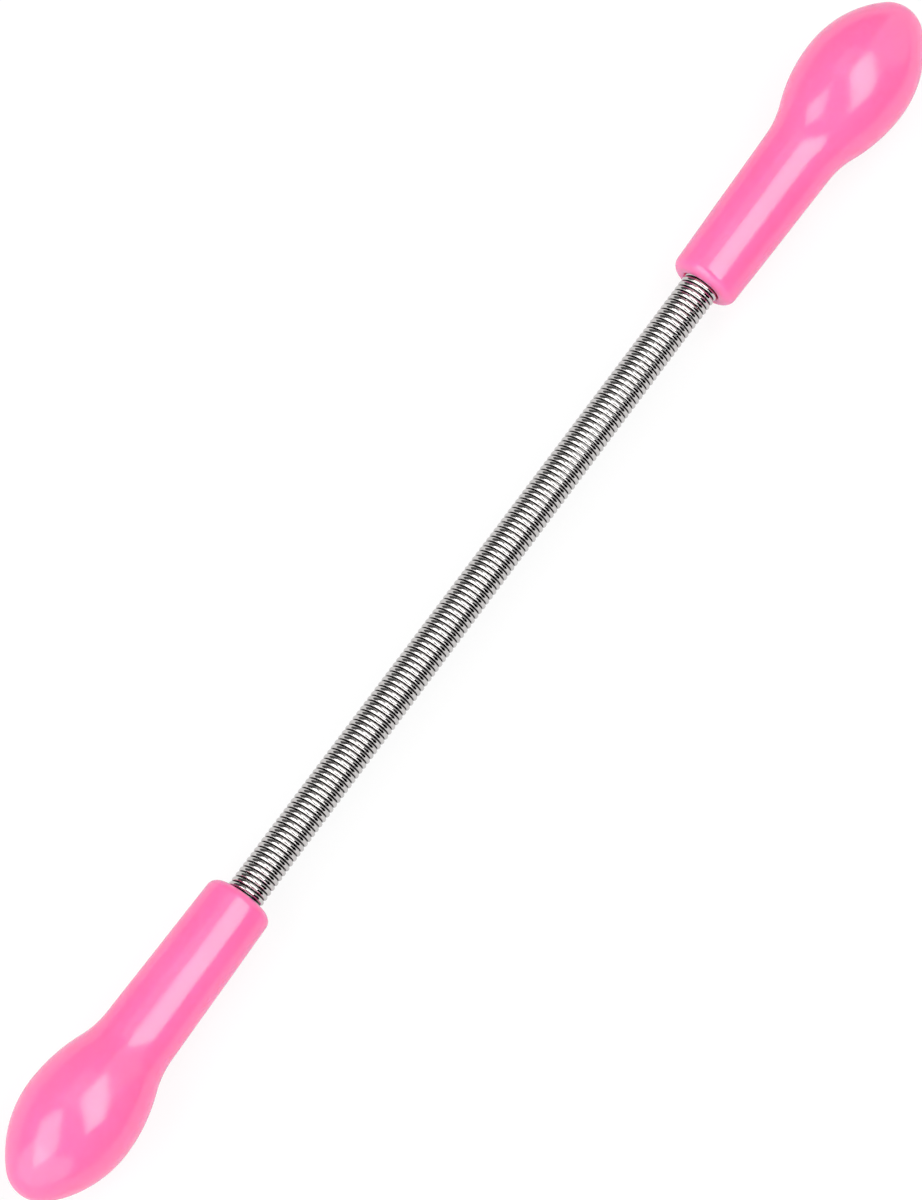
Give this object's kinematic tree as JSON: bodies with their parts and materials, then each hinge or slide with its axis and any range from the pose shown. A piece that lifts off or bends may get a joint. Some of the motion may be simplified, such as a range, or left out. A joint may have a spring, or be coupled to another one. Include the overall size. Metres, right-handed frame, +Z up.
{
  "type": "facial hair removal spring",
  "caption": "Close-wound coil spring of bright steel wire with a bulb-ended plastic handle on each end, bent and rolled over the skin to pull out fine facial hair.",
  "frame": {"origin": "centre of the bounding box's bottom face: on the ground, midway between the two bulbs the tool lies on", "axes": "+X along the coil's axis, from the left handle to the right handle; +Z up; Y completes the frame"},
  "size_m": [0.185, 0.0146, 0.0146],
  "materials": {
    "spring_wire": "bright drawn stainless spring wire",
    "handle_plastic": "glossy pink moulded plastic"
  },
  "bodies": {
    "root": {"coil_spring": "spring_wire", "left_handle": "handle_plastic", "right_handle": "handle_plastic"}
  },
  "joints": []
}
